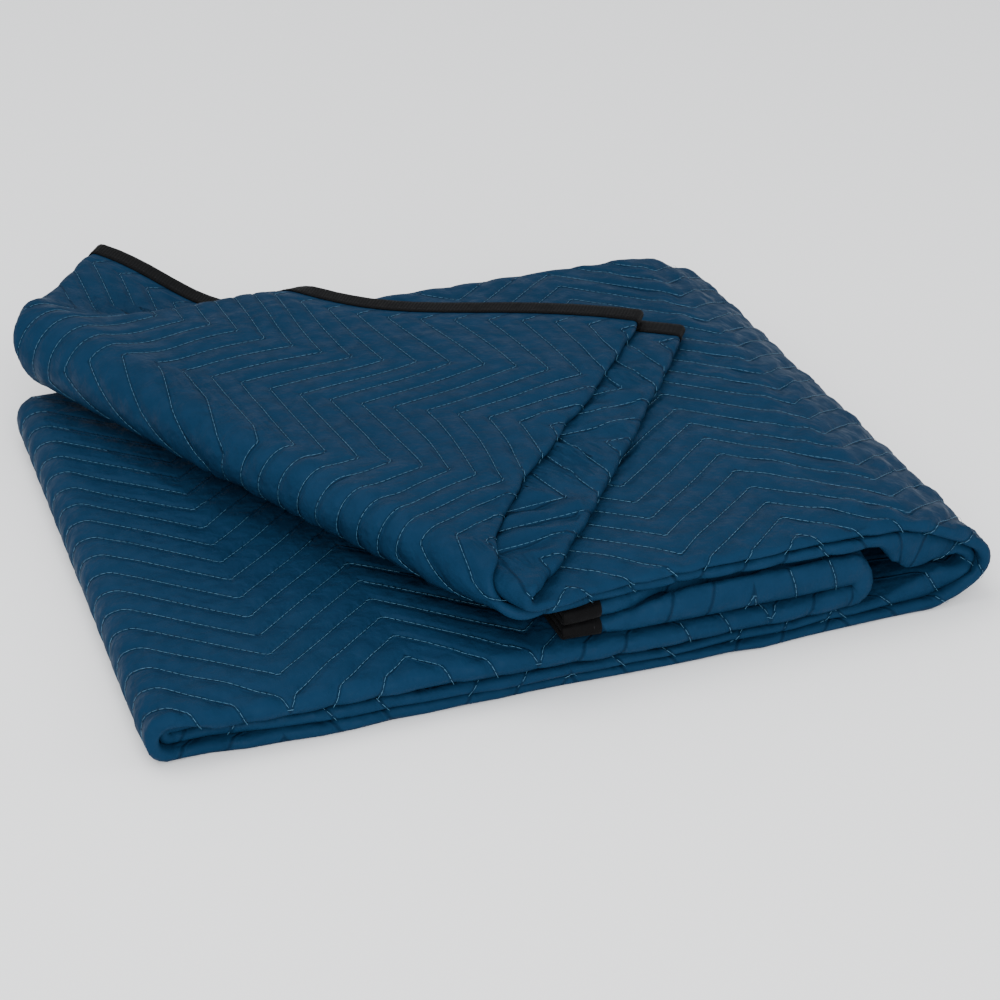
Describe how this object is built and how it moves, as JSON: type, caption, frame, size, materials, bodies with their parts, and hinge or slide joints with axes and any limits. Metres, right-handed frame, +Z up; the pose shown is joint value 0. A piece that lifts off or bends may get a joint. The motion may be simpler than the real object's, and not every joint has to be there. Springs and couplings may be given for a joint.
{
  "type": "moving blanket",
  "caption": "Quilted moving blanket folded into a flat layered pile, with its bound end turned over as an oblique flap on top.",
  "frame": {"origin": "bottom centre of the folded blanket's box, on the surface that it rests on", "axes": "+X along the pile's front edge towards its thick right end, +Y from that edge to the back, +Z up"},
  "size_m": [0.563, 0.5975, 0.0985],
  "materials": {
    "quilted_cloth": "woven polyester shell with a slight sheen, quilted in zigzag rows",
    "binding_tape": "matt ribbed woven tape"
  },
  "bodies": {
    "root": {"quilted_cloth": "quilted_cloth", "binding_flap_end": "binding_tape", "binding_inner_end": "binding_tape"}
  },
  "joints": []
}
